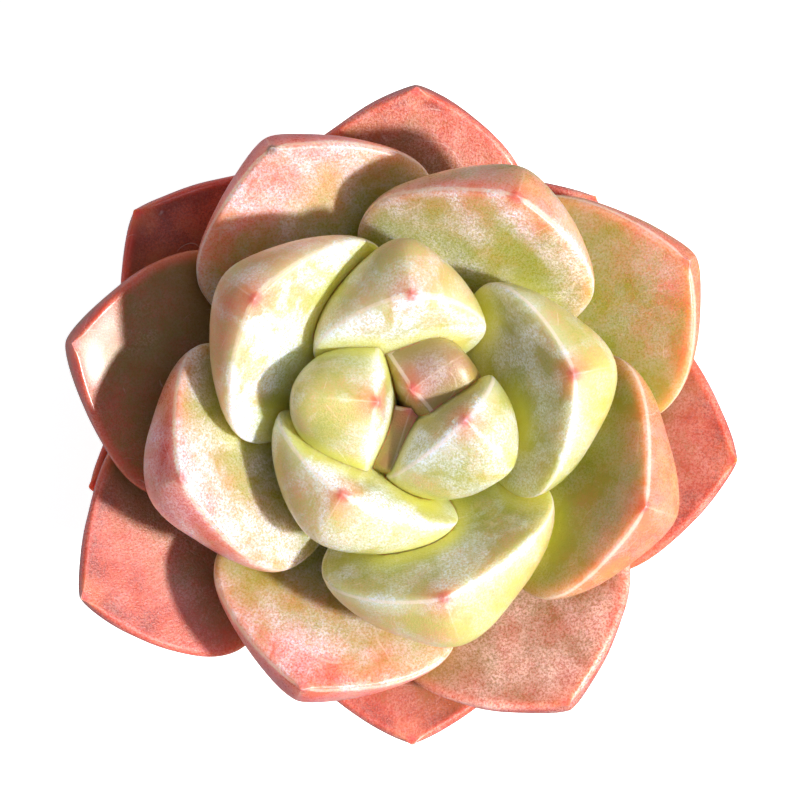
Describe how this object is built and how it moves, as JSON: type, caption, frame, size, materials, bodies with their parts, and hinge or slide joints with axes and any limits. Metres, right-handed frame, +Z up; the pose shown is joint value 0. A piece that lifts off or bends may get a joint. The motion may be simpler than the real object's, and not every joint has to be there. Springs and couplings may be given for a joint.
{
  "type": "potted echeveria",
  "caption": "Small rosette succulent with thick keeled leaves on a short stem, standing in soil in a plain tapered clay pot with a drain hole.",
  "frame": {"origin": "on the ground, under the middle of the whole plant and its pot, which is also the middle of the pot's foot", "axes": "+Z up along the stem and the pot's axis; +X to the right and +Y to the top in the view from above"},
  "size_m": [0.0797, 0.0791, 0.0922],
  "materials": {
    "bud_leaf": "smooth waxy skin, pale yellow green with a white bloom",
    "middle_leaf": "smooth waxy skin, yellow green turning peach at the edges",
    "outer_leaf": "smooth waxy skin, coral red over olive green",
    "stem": "matte and lightly scarred",
    "soil": "loose dark potting mix with small grit",
    "terracotta": "unglazed fired clay"
  },
  "bodies": {
    "root": {"pot": "terracotta", "soil": "soil", "stem": "stem", "leaf_01": "bud_leaf", "leaf_02": "bud_leaf", "leaf_03": "bud_leaf", "leaf_04": "bud_leaf", "leaf_05": "bud_leaf", "leaf_06": "bud_leaf", "leaf_07": "bud_leaf", "leaf_08": "bud_leaf", "leaf_09": "bud_leaf", "leaf_10": "middle_leaf", "leaf_11": "middle_leaf", "leaf_12": "middle_leaf", "leaf_13": "middle_leaf", "leaf_14": "middle_leaf", "leaf_15": "middle_leaf", "leaf_16": "outer_leaf", "leaf_17": "outer_leaf", "leaf_18": "outer_leaf", "leaf_19": "outer_leaf", "leaf_20": "outer_leaf", "leaf_21": "outer_leaf", "leaf_22": "outer_leaf", "leaf_23": "outer_leaf", "leaf_24": "outer_leaf"}
  },
  "joints": []
}
